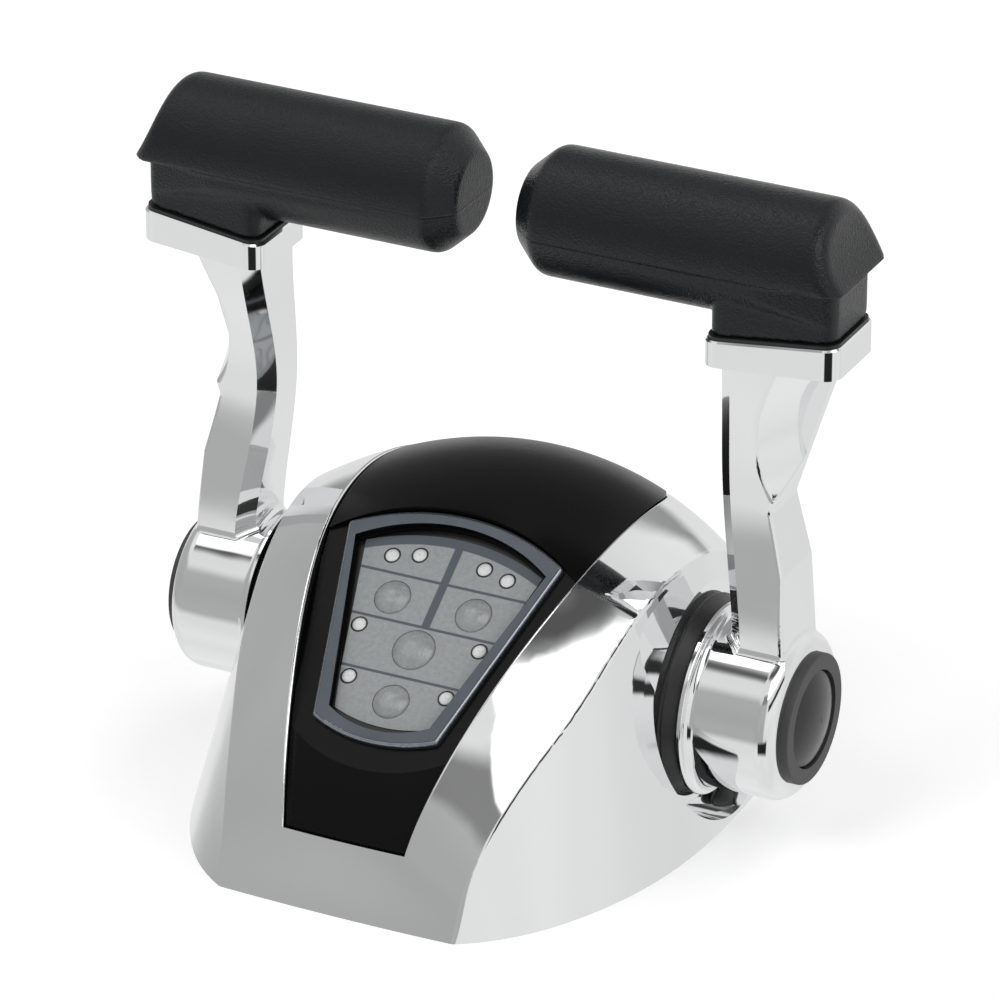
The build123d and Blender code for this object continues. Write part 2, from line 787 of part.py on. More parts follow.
# the upper half of the mould: the outer end is domed, leans in and has a rounded rim
with BuildPart() as grip_cover:
    add(bar.part)
    split(bisect_by=Plane.XY.offset(parting), keep=Keep.TOP)
    with BuildSketch(Plane.XZ):
        with BuildLine():
            SagittaArc((grip_end_top, grip_top), (grip_lip, parting), -grip_end_bulge)
            Polyline(
                (grip_lip, parting),
                (2 * grip_lip, parting),
                (2 * grip_lip, grip_top),
                (grip_end_top, grip_top),
            )
        make_face()
    extrude(amount=4 * grip_radius, both=True, mode=Mode.SUBTRACT)
    end_edges = grip_cover.edges().filter_by_position(Axis.X, grip_end_top - 2, grip_lip)
    fillet(end_edges.sort_by(SortBy.LENGTH)[-1], grip_end_fillet)

# the lower half: it narrows in plan to the neck and ends flush with it
with BuildPart() as grip_foot:
    with BuildSketch(Plane.XY.offset(collar_bottom)) as foot_plan:
        with BuildLine():
            Polyline(
                (0, grip_aft - grip_radius),
                (grip_foot_start, grip_aft - grip_radius + grip_foot_side),
                (neck_outer, -collar_front_outer + gasket_inset),
                (neck_outer, collar_rear - gasket_inset),
                (grip_foot_start, grip_aft + grip_radius - grip_foot_side),
                (0, grip_aft + grip_radius),
                close=True,
            )
        make_face()
        fillet(foot_plan.vertices().group_by(Axis.X)[-1], grip_foot_corner)
    extrude(amount=parting - collar_bottom)
    add(bar.part, mode=Mode.INTERSECT)
    add(collar_room.part, mode=Mode.SUBTRACT)

with BuildPart() as grip:
    add(grip_cover.part)
    add(grip_foot.part)
    add(neck.part)
save_pair(grip.part, "lever_grip")

with BuildPart() as hub_ring:
    with Locations(across(hub_outer + (ring_stand - ring_depth) / 2)):
        Cylinder(ring_radius, ring_depth + ring_stand)
    fillet(hub_ring.faces().sort_by(Axis.X)[-1].edges(), ring_edge_fillet)
    with Locations(across(hub_outer)):
        Cylinder(ring_inner_radius, 4 * (ring_depth + ring_stand), mode=Mode.SUBTRACT)
save_pair(hub_ring.part, "hub_ring")

# Domed cap in the ring
with BuildPart() as hub_cap:
    with BuildSketch(Plane.XZ):
        with BuildLine():
            Polyline(
                (hub_outer + cap_edge, lever_height + cap_radius),
                (hub_outer - ring_depth, lever_height + cap_radius),
                (hub_outer - ring_depth, lever_height),
                (hub_outer + cap_edge + cap_dome, lever_height),
            )
            RadiusArc(
                (hub_outer + cap_edge + cap_dome, lever_height),
                (hub_outer + cap_edge, lever_height + cap_radius),
                -(cap_radius**2 + cap_dome**2) / (2 * cap_dome),
            )
        make_face()
    revolve(axis=Axis((0, 0, lever_height), (1, 0, 0)))
save_pair(hub_cap.part, "hub_cap")

with BuildPart() as hub_screw:
    with Locations(across(hub_outer - hub_screw_pocket + hub_screw_head / 2)):
        Cylinder(hub_screw_head_radius, hub_screw_head)
    with Locations(across(hub_outer - hub_screw_pocket - hub_screw_length / 2)):
        Cylinder(hub_screw_radius - fixed_gap, hub_screw_length)
save_pair(hub_screw.part, "hub_screw")

# ---------------------------------------------------------------- shaft, bearings and drive
shaft_inner_end = bracket_ear_x - shaft_end_stand
shaft_outer_end = hub_inner + shaft_in_hub
with BuildPart() as lever_shaft:
    with Locations(across((shaft_inner_end + shaft_outer_end) / 2)):
        Cylinder(shaft_radius - fixed_gap, shaft_outer_end - shaft_inner_end)
    chamfer(lever_shaft.edges().filter_by(GeomType.CIRCLE), 0.5)
    with Locations(across(shaft_outer_end)):
        Cylinder(hub_screw_radius, 2 * hub_screw_length, mode=Mode.SUBTRACT)
save_pair(lever_shaft.part, "lever_shaft")

bushing_bore = shaft_radius - fixed_gap + running_clearance
with BuildPart() as outer_bushing:
    with Locations(across(seat_face - bushing_length / 2)):
        Cylinder(bushing_radius, bushing_length)
    with Locations(across(seat_face + bushing_flange / 2)):
        Cylinder(bushing_flange_radius, bushing_flange)
    with Locations(across(seat_face)):
        Cylinder(bushing_bore, 4 * bushing_length, mode=Mode.SUBTRACT)
save_pair(outer_bushing.part, "outer_bushing")

with BuildPart() as inner_bushing:
    with Locations(across(bracket_ear_x + bracket_thickness / 2)):
        Cylinder(bushing_radius, bracket_thickness)
    with Locations(across(bracket_ear_x + bracket_thickness + bushing_flange / 2)):
        Cylinder(bushing_flange_radius, bushing_flange)
    with Locations(across(bracket_ear_x)):
        Cylinder(bushing_bore, 4 * bracket_thickness, mode=Mode.SUBTRACT)
save_pair(inner_bushing.part, "inner_bushing")

# Seal between the seat and the hub
with BuildPart() as hub_seal:
    with BuildSketch(Plane.XZ) as seal_profile:
        with BuildLine():
            Polyline(
                (seat_face, lever_height + seal_inner_radius),
                (seat_face, lever_height + seal_outer_radius),
                (seat_face + seal_lip_depth, lever_height + seal_outer_radius + seal_lip),
                (hub_inner - seal_gap, lever_height + seal_outer_radius - seal_taper),
                (hub_inner - seal_gap, lever_height + seal_inner_radius),
                close=True,
            )
        make_face()
        fillet(seal_profile.vertices().group_by(Axis.Y)[-1], seal_fillet)
    revolve(axis=Axis((0, 0, lever_height), (1, 0, 0)))
save_pair(hub_seal.part, "hub_seal")


def involute(angle):
    """Involute function of a pressure angle."""
    return tan(angle) - angle


def gear_points(teeth, phase):
    """Outline of a spur gear: root, pitch and tip points on each flank of each tooth."""
    pitch = gear_module * teeth / 2
    base = pitch * cos(radians(pressure_angle))
    root, tip = pitch - 1.25 * gear_module, pitch + gear_module
    half_tooth = (pi * gear_module / 2 - gear_backlash) / (2 * pitch)
    flank = []
    for radius in (root, pitch, tip):
        roll = involute(acos(base / max(radius, base)))
        flank.append((radius, half_tooth + involute(radians(pressure_angle)) - roll))
    points = []
    for tooth in range(teeth):
        middle = 2 * pi * (tooth + phase) / teeth
        for radius, offset in flank:
            points.append((radius * cos(middle - offset), radius * sin(middle - offset)))
        for radius, offset in reversed(flank):
            points.append((radius * cos(middle + offset), radius * sin(middle + offset)))
    return points


with BuildPart() as drive_gear:
    with BuildSketch(Plane.YZ.offset(gear_inner)):
        with Locations((0, lever_height)):
            Polygon(*gear_points(gear_teeth, 0), align=None)
    extrude(amount=gear_width)
    with Locations(across(gear_inner + gear_width + gear_boss_length / 2)):
        Cylinder(gear_boss_radius, gear_boss_length)
    with Locations(across(gear_inner)):
        Cylinder(shaft_radius, 8 * gear_width, mode=Mode.SUBTRACT)
save_pair(drive_gear.part, "drive_gear")

pinion_inner = gear_inner + (gear_width - pinion_width) / 2
sensor_shaft_end = bracket_ear_x - sensor_length + 2
with BuildPart() as sensor_pinion:
    with BuildSketch(Plane.YZ.offset(pinion_inner)):
        with Locations((pinion_y, lever_height)):
            Polygon(*gear_points(pinion_teeth, 0.5), align=None)
    extrude(amount=pinion_width)
    with Locations(across((pinion_inner + sensor_shaft_end) / 2, pinion_y)):
        Cylinder(sensor_shaft_radius, pinion_inner - sensor_shaft_end)
save_pair(sensor_pinion.part, "sensor_pinion")

with BuildPart() as sensor_body:
    with Locations(across(bracket_ear_x - sensor_length / 2, pinion_y)):
        Cylinder(sensor_radius, sensor_length)
    chamfer(sensor_body.edges().filter_by(GeomType.CIRCLE).sort_by(Axis.X)[0], 1)
    with Locations(across(bracket_ear_x, pinion_y)):
        Cylinder(sensor_shaft_radius + running_clearance, 2 * (sensor_length - 1.5), mode=Mode.SUBTRACT)
save_pair(sensor_body.part, "sensor_body")

# Shoe that rubs on the gear's boss and keeps the lever where it is put
with BuildPart() as friction_shoe:
    with BuildSketch(Plane.YZ.offset(gear_inner + gear_width + 0.5)) as shoe_profile:
        with Locations((0, (base_top + lever_height) / 2)):
            Rectangle(shoe_width, lever_height - base_top)
        with Locations((0, lever_height)):
            Circle(gear_boss_radius + shoe_gap, mode=Mode.SUBTRACT)
    extrude(amount=gear_boss_length - 0.5)
save_pair(friction_shoe.part, "friction_shoe")

# ---------------------------------------------------------------- base
with BuildPart() as base_room:
    add(walls(shell_thickness + base_gap) & crown(shell_thickness + base_gap))
    for side in (1, -1):
        with Locations(across(side * (seat_face - bushing_length - base_gap + base_half_width))):
            Cylinder(
                seat_pocket_radius + shell_thickness + base_gap,
                2 * base_half_width,
                mode=Mode.SUBTRACT,
            )
base_form = base_room.part
bolt_places = [(sx * bolt_spacing_x / 2, sy * bolt_spacing_y / 2) for sx in (1, -1) for sy in (1, -1)]
screw_places = [(side * x, y) for side in (1, -1) for x, y in post_places]
upward = (Align.CENTER, Align.CENTER, Align.MIN)

with BuildPart() as base_plate:
    with BuildSketch(Plane.XY.offset(gasket_height)):
        Rectangle(4 * base_half_width, 4 * front_length)
    extrude(amount=base_thickness)
    add(base_form, mode=Mode.INTERSECT)
    with Locations(*[(x, y, base_top) for x, y in bolt_places]):
        Cylinder(bolt_boss_radius, bolt_boss_height, align=upward)
    with Locations(*[(x, y, gasket_height) for x, y in bolt_places]):
        Cylinder(bolt_hole_radius, 4 * bolt_boss_height, mode=Mode.SUBTRACT)
    with Locations((0, 0, gasket_height)):
        Cylinder(cable_outlet_radius, 4 * base_thickness, mode=Mode.SUBTRACT)
    with Locations(*[(x, y, gasket_height) for x, y in screw_places]):
        Cylinder(post_screw_radius + 0.05, 4 * base_thickness, mode=Mode.SUBTRACT)
        Cylinder(screw_head_radius + 0.3, 2 * screw_head_height, mode=Mode.SUBTRACT)
save(base_plate.part, "base_plate")

with BuildPart() as deck_gasket:
    with BuildSketch():
        Rectangle(4 * base_half_width, 4 * front_length)
    extrude(amount=gasket_height)
    add(base_form, mode=Mode.INTERSECT)
    with Locations(*bolt_places):
        Cylinder(bolt_hole_radius + 1, 4 * gasket_height, mode=Mode.SUBTRACT)
    with Locations((0, 0)):
        Cylinder(cable_outlet_radius + 1, 4 * gasket_height, mode=Mode.SUBTRACT)
save(deck_gasket.part, "deck_gasket")

with BuildPart() as base_screws:
    with Locations(*[(x, y, gasket_height) for x, y in screw_places]):
        Cylinder(screw_head_radius, screw_head_height, align=upward)
        Cylinder(post_screw_radius - fixed_gap, screw_length, align=upward)
save(base_screws.part, "base_screws")

# Bracket: a channel on the base plate, with an ear for each side's bearing and sensor
ear_top = lever_height + bushing_flange_radius
ear_outer_x = bracket_ear_x + bracket_thickness
bracket_rear = pinion_y + sensor_radius
with BuildPart() as mechanism_bracket:
    with BuildSketch(Plane.XZ.offset(bracket_half_length)):
        with BuildLine():
            Polyline(
                (-ear_outer_x, base_top),
                (ear_outer_x, base_top),
                (ear_outer_x, ear_top),
                (bracket_ear_x, ear_top),
                (bracket_ear_x, base_top + bracket_thickness),
                (-bracket_ear_x, base_top + bracket_thickness),
                (-bracket_ear_x, ear_top),
                (-ear_outer_x, ear_top),
                close=True,
            )
        make_face()
    extrude(amount=-(bracket_half_length + bracket_rear))
    fillet(mechanism_bracket.edges().filter_by(Axis.X).group_by(Axis.Z)[-1], 8)
    with Locations((0, 0, base_top)):
        Cylinder(cable_outlet_radius + 2, 4 * bracket_thickness, mode=Mode.SUBTRACT)
    with Locations(*[(x, y, base_top) for x, y in bracket_screw_places]):
        Cylinder(bracket_screw_radius + 0.05, 4 * bracket_thickness, mode=Mode.SUBTRACT)
    with Locations(across(0)):
        Cylinder(bushing_radius, 4 * bracket_ear_x, mode=Mode.SUBTRACT)
    with Locations(across(0, pinion_y)):
        Cylinder(sensor_shaft_radius + 0.5, 4 * bracket_ear_x, mode=Mode.SUBTRACT)
save(mechanism_bracket.part, "mechanism_bracket")

with BuildPart() as bracket_screws:
    with Locations(*[(x, y, base_top + bracket_thickness) for x, y in bracket_screw_places]):
        Cylinder(2 * bracket_screw_radius, 1.4 * bracket_screw_radius, align=upward)
    with Locations(*[(x, y, base_top) for x, y in bracket_screw_places]):
        Cylinder(bracket_screw_radius, bracket_thickness, align=upward)
save(bracket_screws.part, "bracket_screws")
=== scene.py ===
"""A twin-lever throttle control head for a boat: a polished shell with its insert and key panel,
and two levers with their drive. Metres, +Z up, -Y towards the operator, +X to starboard."""

from math import asin, cos, pi, radians, sin

import bmesh
import bpy
from mathutils import Matrix, Vector


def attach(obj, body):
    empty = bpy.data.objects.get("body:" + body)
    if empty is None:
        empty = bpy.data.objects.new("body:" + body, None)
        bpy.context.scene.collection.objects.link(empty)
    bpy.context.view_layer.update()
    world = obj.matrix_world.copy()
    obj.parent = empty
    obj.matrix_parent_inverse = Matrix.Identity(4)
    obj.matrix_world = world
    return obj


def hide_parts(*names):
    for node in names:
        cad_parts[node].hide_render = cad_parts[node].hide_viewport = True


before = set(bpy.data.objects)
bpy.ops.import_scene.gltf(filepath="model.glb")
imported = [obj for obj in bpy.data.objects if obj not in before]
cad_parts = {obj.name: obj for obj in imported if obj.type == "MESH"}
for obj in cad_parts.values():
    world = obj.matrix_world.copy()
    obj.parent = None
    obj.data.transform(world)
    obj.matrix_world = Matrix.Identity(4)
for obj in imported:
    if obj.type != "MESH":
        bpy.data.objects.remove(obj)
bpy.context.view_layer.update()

# ---------------------------------------------------------------- room
# The head stands on a pale floor in a white room, under three soft lamps. Polished metal sees
# grey walls in place of the room and the floor, with two softboxes and dark gaps between them.


class Signal:
    """A node's output, with arithmetic that adds Math nodes."""

    def __init__(self, finish, socket):
        self.finish = finish
        self.socket = socket

    def math(self, operation, *values):
        return self.finish.node("ShaderNodeMath", {"operation": operation}, values)

    def __add__(self, other):
        return self.math("ADD", self, other)

    __radd__ = __add__

    def __sub__(self, other):
        return self.math("SUBTRACT", self, other)

    def __rsub__(self, other):
        return self.math("SUBTRACT", other, self)

    def __mul__(self, other):
        return self.math("MULTIPLY", self, other)

    __rmul__ = __mul__

    def away_from(self, level):
        """How far the signal is from a level, on either side of it."""
        return self.math("ABSOLUTE", self - level)

    def between(self, low, high):
        """0 below low, 1 above high, with a smooth step between them."""
        settings = {"interpolation_type": "SMOOTHSTEP"}
        inputs = {"Value": self, "From Min": low, "From Max": high}
        return self.finish.node("ShaderNodeMapRange", settings, inputs)


class Finish:
    """A material, or the world, that is being written. It takes the plain values by name."""

    def __init__(self, name, world=False, **numbers):
        self.owner = bpy.data.worlds.new(name) if world else bpy.data.materials.new(name)
        self.owner.use_nodes = True
        self.tree = self.owner.node_tree
        self.surface = self.tree.nodes["Background" if world else "Principled BSDF"]
        for socket, value in numbers.items():
            self.surface.inputs[socket.replace("_", " ")].default_value = value

    def node(self, kind, settings=None, inputs=(), output=0):
        """Adds a node: its settings first, then the values or links of its sockets."""
        node = self.tree.nodes.new(kind)
        for name, value in (settings or {}).items():
            setattr(node, name, value)
        pairs = inputs.items() if isinstance(inputs, dict) else enumerate(inputs)
        for key, value in pairs:
            if isinstance(value, Signal):
                self.tree.links.new(value.socket, node.inputs[key])
            else:
                node.inputs[key].default_value = value
        return Signal(self, node.outputs[output])

    def set(self, **signals):
        """Links what changes over the surface to the surface's sockets."""
        for socket, signal in signals.items():
            self.tree.links.new(signal.socket, self.surface.inputs[socket.replace("_", " ")])

    def place(self):
        """The point on the piece, in millimetres."""
        point = self.node("ShaderNodeTexCoord", output="Object")
        inputs = {0: point, "Scale": 1000.0}
        return self.node("ShaderNodeVectorMath", {"operation": "SCALE"}, inputs)

    def axes(self, vector):
        return [self.node("ShaderNodeSeparateXYZ", None, (vector,), axis) for axis in "XYZ"]

    def noise(self, vector, scale, detail=2.0, roughness=0.5):
        """Noise from 0 to 1, with scale spots to each unit of the vector."""
        inputs = {"Vector": vector, "Scale": scale, "Detail": detail, "Roughness": roughness}
        return self.node("ShaderNodeTexNoise", None, inputs)

    def colours(self, mask, low, high):
        """A colour that goes from low to high with the mask, by a Mix node's colour sockets."""
        return self.node("ShaderNodeMix", {"data_type": "RGBA"}, {0: mask, 6: low, 7: high}, 2)

    def bump(self, height, millimetres):
        inputs = {"Height": height, "Distance": 0.001 * millimetres, "Strength": 1.0}
        return self.node("ShaderNodeBump", None, inputs)


floor_half = 4.0
floor_white = 0.86
floor_lift = 0.36               # added where the camera sees the floor
room_light = 0.5
lamp_target = Vector((0, 0, 0.08))
lamps = {                       # name: place, size, watts
    "key_lamp": ((-0.7, -1.0, 1.4), 0.9, 9.0),
    "fill_lamp": ((1.3, -0.7, 0.8), 0.8, 4.0),
    "back_lamp": ((0.2, 1.3, 1.1), 0.9, 5.0),
}
wall_level = 0.8
panels = (                      # degrees to starboard of the operator, elevation, level, soft edge
    ((-200, 200), (-99, -21), 0.82, 9),
    ((-125, 34), (-19, 36), 0.44, 5),
    ((-2, 30), (33, 45), 0.24, 2),
    ((5, 58), (-32, -17), 0.02, 3),
    ((27, 104), (38, 64), 2.2, 1.5),
    ((44, 104), (19, 27), 0.03, 1.5),
    ((-25, 150), (66, 92), 0.1, 2),
    ((-112, -62), (63, 86), 2.2, 3),
    ((-60, -36), (56, 65), 0.12, 2),
    ((112, 146), (46, 66), 0.06, 3),
    ((-200, -125), (8, 60), 0.32, 6),
    ((176, 200), (8, 60), 0.32, 3),
)
cloud_scale = 1.6               # of the walls' uneven light
cloud_strength = 0.16

floor_mesh = bpy.data.meshes.new("floor")
corners = [(sx * floor_half, sy * floor_half, 0) for sx, sy in ((-1, -1), (1, -1), (1, 1), (-1, 1))]
floor_mesh.from_pydata(corners, [], [(0, 1, 2, 3)])
floor = bpy.data.objects.new("floor", floor_mesh)
bpy.context.scene.collection.objects.link(floor)
floor_paint = Finish(
    "floor",
    Base_Color=(floor_white,) * 3 + (1,),
    Roughness=0.9,
    Specular_IOR_Level=0.0,
    Emission_Strength=1.0,
)
camera_ray = floor_paint.node("ShaderNodeLightPath", output="Is Camera Ray")
lift = floor_paint.colours(camera_ray, (0, 0, 0, 1), (floor_lift,) * 3 + (1,))
glossy_ray = floor_paint.node("ShaderNodeLightPath", output="Is Glossy Ray")
floor_paint.set(Emission_Color=lift, Alpha=1 - glossy_ray)
floor_mesh.materials.append(floor_paint.owner)

room = Finish("room", world=True)
bpy.context.scene.world = room.owner
direction = room.node("ShaderNodeTexCoord", output="Generated")
across, along, height = room.axes(direction)
turn = across.math("ARCTAN2", across, 0 - along)
mirror = wall_level
for (turn_from, turn_to), (low, high), level, soft in panels:
    inside = 1.0
    for signal, start, end in (
        (turn, radians(turn_from), radians(turn_to)),
        (height, sin(radians(low)), sin(radians(high))),
    ):
        edge = radians(soft)
        inside = signal.between(start - edge, start + edge) * inside
        inside = (1 - signal.between(end - edge, end + edge)) * inside
    mirror = inside * (level - mirror) + mirror
clouds = room.noise(direction, cloud_scale, detail=1.0)
mirror = mirror * ((clouds - 0.5) * (2 * cloud_strength) + 1)
shade = room.node("ShaderNodeCombineXYZ", None, (mirror, mirror, mirror))
sky = (room_light,) * 3 + (1,)
for ray, seen in (("Is Camera Ray", (1, 1, 1, 1)), ("Is Glossy Ray", shade)):
    sky = room.colours(room.node("ShaderNodeLightPath", output=ray), sky, seen)
room.set(Color=sky)

for name, (place, size, watts) in lamps.items():
    light = bpy.data.lights.new(name, "AREA")
    light.size = size
    light.energy = watts
    lamp = bpy.data.objects.new(name, light)
    lamp.location = place
    lamp.rotation_euler = (lamp_target - Vector(place)).to_track_quat("-Z", "Y").to_euler()
    lamp.visible_glossy = False
    bpy.context.scene.collection.objects.link(lamp)

# ---------------------------------------------------------------- camera
# The camera looks down on the key panel from the operator's side, to starboard of the middle.
# Its lens is long and it stands well back, so that both levers fit.
camera_turn = radians(26.473)
camera_elevation = radians(26.339)
camera_distance = 1.8723
camera_target = Vector((-0.000258, 0, 0.07817))
lens_length = 251.131           # millimetres

camera_back = Vector((
    sin(camera_turn) * cos(camera_elevation),
    -cos(camera_turn) * cos(camera_elevation),
    sin(camera_elevation),
))
lens = bpy.data.cameras.new("camera")
lens.lens = lens_length
camera = bpy.data.objects.new("camera", lens)
camera.location = camera_target + camera_distance * camera_back
camera.rotation_euler = (-camera_back).to_track_quat("-Z", "Y").to_euler()
bpy.context.scene.collection.objects.link(camera)
bpy.context.scene.camera = camera
bpy.context.scene.view_settings.view_transform = "Standard"

# ---------------------------------------------------------------- shell
# The housing is a zinc casting, polished and chromed. Its crown, leaning walls and hub seats are
# one piece, and the plating shows faint polishing waves.


def wear(name, *finishes):
    """Gives a CAD node its finish, or several for its faces to choose from."""
    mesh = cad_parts[name].data
    mesh.materials.clear()
    for finish in finishes:
        mesh.materials.append(finish.owner)
    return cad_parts[name]


chrome = Finish("chrome", Base_Color=(0.88, 0.885, 0.89, 1), Metallic=1.0)
wave = chrome.noise(chrome.place(), scale=0.02, detail=0.0)
smear = chrome.noise(chrome.place(), scale=0.12, detail=4.0, roughness=0.6)
chrome.set(Roughness=0.02 + 0.035 * smear, Normal=chrome.bump(wave, millimetres=0.02))
wear("housing", chrome)

# ---------------------------------------------------------------- console insert
# A gloss-black moulding that fills the window in the shell's crown. It is put in from below until
# its flange meets the shell's edge, and its skin has the faint orange peel of a polished mould.
gloss_black = Finish("gloss_black", Base_Color=(0.004, 0.004, 0.004, 1), Specular_IOR_Level=0.13)
peel = gloss_black.noise(gloss_black.place(), scale=0.5)
haze = gloss_black.noise(gloss_black.place(), scale=0.06, detail=3.0)
gloss_black.set(Roughness=0.2 + 0.16 * haze, Normal=gloss_black.bump(peel, millimetres=0.02))
wear("console_insert", gloss_black)

# ---------------------------------------------------------------- key panel frame
# The frame is a moulded trim ring in blue-grey satin lacquer, glued to the insert. Its inner wall
# is given the insert's gloss black as painted shade, and its rounded edges a lighter lacquer as a
# painted highlight.
panel_tilt = radians(34.5)
panel_middle = (0.0, -0.05095, 0.06095)             # on the plane of the frame's top
panel = Matrix.Translation(panel_middle) @ Matrix.Rotation(panel_tilt, 4, "X")
satin_greys = (0.07, 0.08, 0.095, 1), (0.115, 0.128, 0.147, 1)
# The lighter greys of the painted highlight on the frame's rounded edges.
painted_highlight_greys = (0.24, 0.262, 0.295, 1), (0.42, 0.45, 0.49, 1)
# Faces are picked by how they lean: the inner walls get painted shade, the rounded edges a painted
# highlight.
shade_wall_lean = 0.3                 # a face's normal rises by less than this on the frame's walls
highlight_lean = (0.12, 0.97)        # and by something between these on its rounded edges

satin = Finish("satin_lacquer", Metallic=0.7)
grain = satin.noise(satin.place(), scale=2.2, detail=3.0)
fade = satin.noise(satin.place(), scale=0.08)
satin.set(
    Base_Color=satin.colours(fade, *satin_greys),
    Roughness=0.24 + 0.12 * grain,
    Normal=satin.bump(grain, millimetres=0.012),
)
# A lighter lacquer, given to the frame's rounded edges as a painted highlight; its mottle varies
# the grey and the roughness.
highlight_lacquer = Finish("painted_highlight_lacquer", Metallic=0.8)
highlight_mottle = highlight_lacquer.noise(highlight_lacquer.place(), scale=0.5, detail=4.0)
highlight_lacquer.set(Base_Color=highlight_lacquer.colours(highlight_mottle, *painted_highlight_greys), Roughness=0.18 + 0.16 * highlight_mottle)
bezel = wear("keypad_bezel", satin, gloss_black, highlight_lacquer)
to_panel = panel.inverted() @ bezel.matrix_world
# Inner wall faces take the insert's black as painted shade, and rounded edge faces take the lighter
# lacquer as a painted highlight.
for face in bezel.data.polygons:
    normal = to_panel.to_3x3() @ face.normal
    inward = -normal.to_2d().dot((to_panel @ face.center).to_2d())
    if abs(normal.z) < shade_wall_lean and inward > 0:
        face.material_index = 1
    elif highlight_lean[0] < normal.z < highlight_lean[1]:
        face.material_index = 2

# ---------------------------------------------------------------- key film
# The film is thin grey plastic, printed with dark lines and a band along its top. It lies on a
# black plate at the bottom of the frame's well, which shows round the film as painted shade in the
# gap, and both have a hole for each key.
film_depth = 0.0032             # under the frame's top
film_thickness = 0.00025
film_ends = (                   # half width at the corners, their height up the panel, arc's rise
    (0.0262, 0.0258, 0.0058),
    (0.015, -0.0238, 0.0029),
)
border_width = 0.0024
border_thickness = 0.0003
key_clearance = 0.00012
hole_sides = 48
keys = (                        # name, place, radius, rise
    ("button_upper_left", (-0.012, 0.0109), 0.005, 0.0021),
    ("button_upper_right", (0.012, 0.0109), 0.005, 0.0021),
    ("button_middle", (0.0, -0.0028), 0.0059, 0.0025),
    ("button_lower", (0.0, -0.0189), 0.005, 0.0021),
)
film_greys = (0.22, 0.234, 0.238, 1), (0.45, 0.47, 0.475, 1)
print_grey = (0.085, 0.1, 0.118, 1)
# The print, in millimetres. Each pair holds the two sides of the ink's soft edge.
line_levels = (17.9, 4.2, -11.3)                    # heights of the lines across the panel
line_half = (0.3, 0.5)
band_middle = 0.4                                   # of the upright band between the upper keys
band_half = (1.05, 1.35)
band_foot = (4.1, 4.3)
crown_foot = (28.6, 29.0)                           # of the band along the film's top
crown_bend = 0.0085                                 # its drop at 1 mm from the middle


def panel_outline(grow, steps=24):
    """Outline of the film on the panel's plane, grown outwards, as a list of points."""
    points = []
    for (half, level, rise), turned in zip(film_ends, (1, -1)):
        half, level = half + grow, level + turned * grow
        radius = (half * half + rise * rise) / (2 * rise)
        reach = asin(half / radius)
        for step in range(steps + 1):
            angle = turned * reach * (1 - 2 * step / steps)
            drop = rise - radius * (1 - cos(angle))
            points.append((radius * sin(angle), level + turned * drop))
    return points


def on_panel(name, shape, finish):
    """Makes an object of a shape that was drawn in the panel's own axes, and puts it there."""
    bmesh.ops.recalc_face_normals(shape, faces=shape.faces)
    mesh = bpy.data.meshes.new(name)
    shape.to_mesh(mesh)
    shape.free()
    mesh.materials.append(finish.owner)
    piece = bpy.data.objects.new(name, mesh)
    piece.matrix_world = panel
    bpy.context.scene.collection.objects.link(piece)
    return piece


def plate(name, outline, bottom, top, finish):
    """A flat plate on the panel, between two levels, with a hole for each key."""
    loops = [outline]
    for _, (x, y), radius, _ in keys:
        hole = radius + key_clearance
        turns = [2 * pi * step / hole_sides for step in range(hole_sides)]
        loops.append([(x + hole * cos(turn), y + hole * sin(turn)) for turn in turns])
    shape = bmesh.new()
    edges = []
    for loop in loops:
        ring = [shape.verts.new((x, y, bottom)) for x, y in loop]
        edges += [shape.edges.new(ends) for ends in zip(ring, ring[1:] + ring[:1])]
    bmesh.ops.triangle_fill(shape, use_beauty=True, edges=edges)
    grown = bmesh.ops.extrude_face_region(shape, geom=shape.faces[:])["geom"]
    raised = [v for v in grown if isinstance(v, bmesh.types.BMVert)]
    bmesh.ops.translate(shape, verts=raised, vec=(0, 0, top - bottom))
    # The fill makes its triangles in any order, so they are sorted by their corners
    shape.verts.index_update()
    count = len(shape.verts)

    def rank(face):
        return sum(v * count**n for n, v in enumerate(sorted(v.index for v in face.verts)))

    shape.faces.sort(key=rank)
    return on_panel(name, shape, finish)


film = Finish("key_film")
spot = film.place()
x, y, _ = film.axes(spot)
mottle = film.noise(spot, scale=0.7, detail=5.0, roughness=0.7)
fine = film.noise(spot, scale=3.0)
lines = 0.0
for level in line_levels:
    lines = lines + 1 - y.away_from(level).between(*line_half)
band = (1 - x.away_from(band_middle).between(*band_half)) * y.between(*band_foot)
crown_band = (y + x * x * crown_bend).between(*crown_foot)
ink = film.node("ShaderNodeMath", {"operation": "MINIMUM"}, (lines + band + crown_band, 1.0))
film.set(
    Base_Color=film.colours(ink, film.colours(mottle, *film_greys), print_grey),
    Roughness=0.38 + 0.12 * mottle,
    Normal=film.bump(fine, millimetres=0.02),
)
# A black plate that shows in the gap round the film: painted shade.
well = Finish("gap_shade_plate", Base_Color=(0.006, 0.006, 0.007, 1))
dust = well.noise(well.place(), scale=1.5, detail=3.0)
well.set(Roughness=0.25 + 0.15 * dust)
film_top = film_thickness - film_depth
outline = panel_outline(border_width)
border = plate("key_film_gap_shade", outline, -film_depth - border_thickness, -film_depth, well)
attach(border, "root")
face_film = plate("key_film", panel_outline(0.0), -film_depth, film_top, film)
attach(face_film, "root")
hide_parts("keypad_overlay")

# ---------------------------------------------------------------- keys
# Each key is a domed blister of the film's grey plastic, streaked by wiping. It stands in its hole
# in the film, goes down 0.7 mm onto its switch, and springs back.
key_sole = 0.0002               # under the film's top, clear of the switch when pressed
streak_stretch = (3.0, 0.5, 1.0)


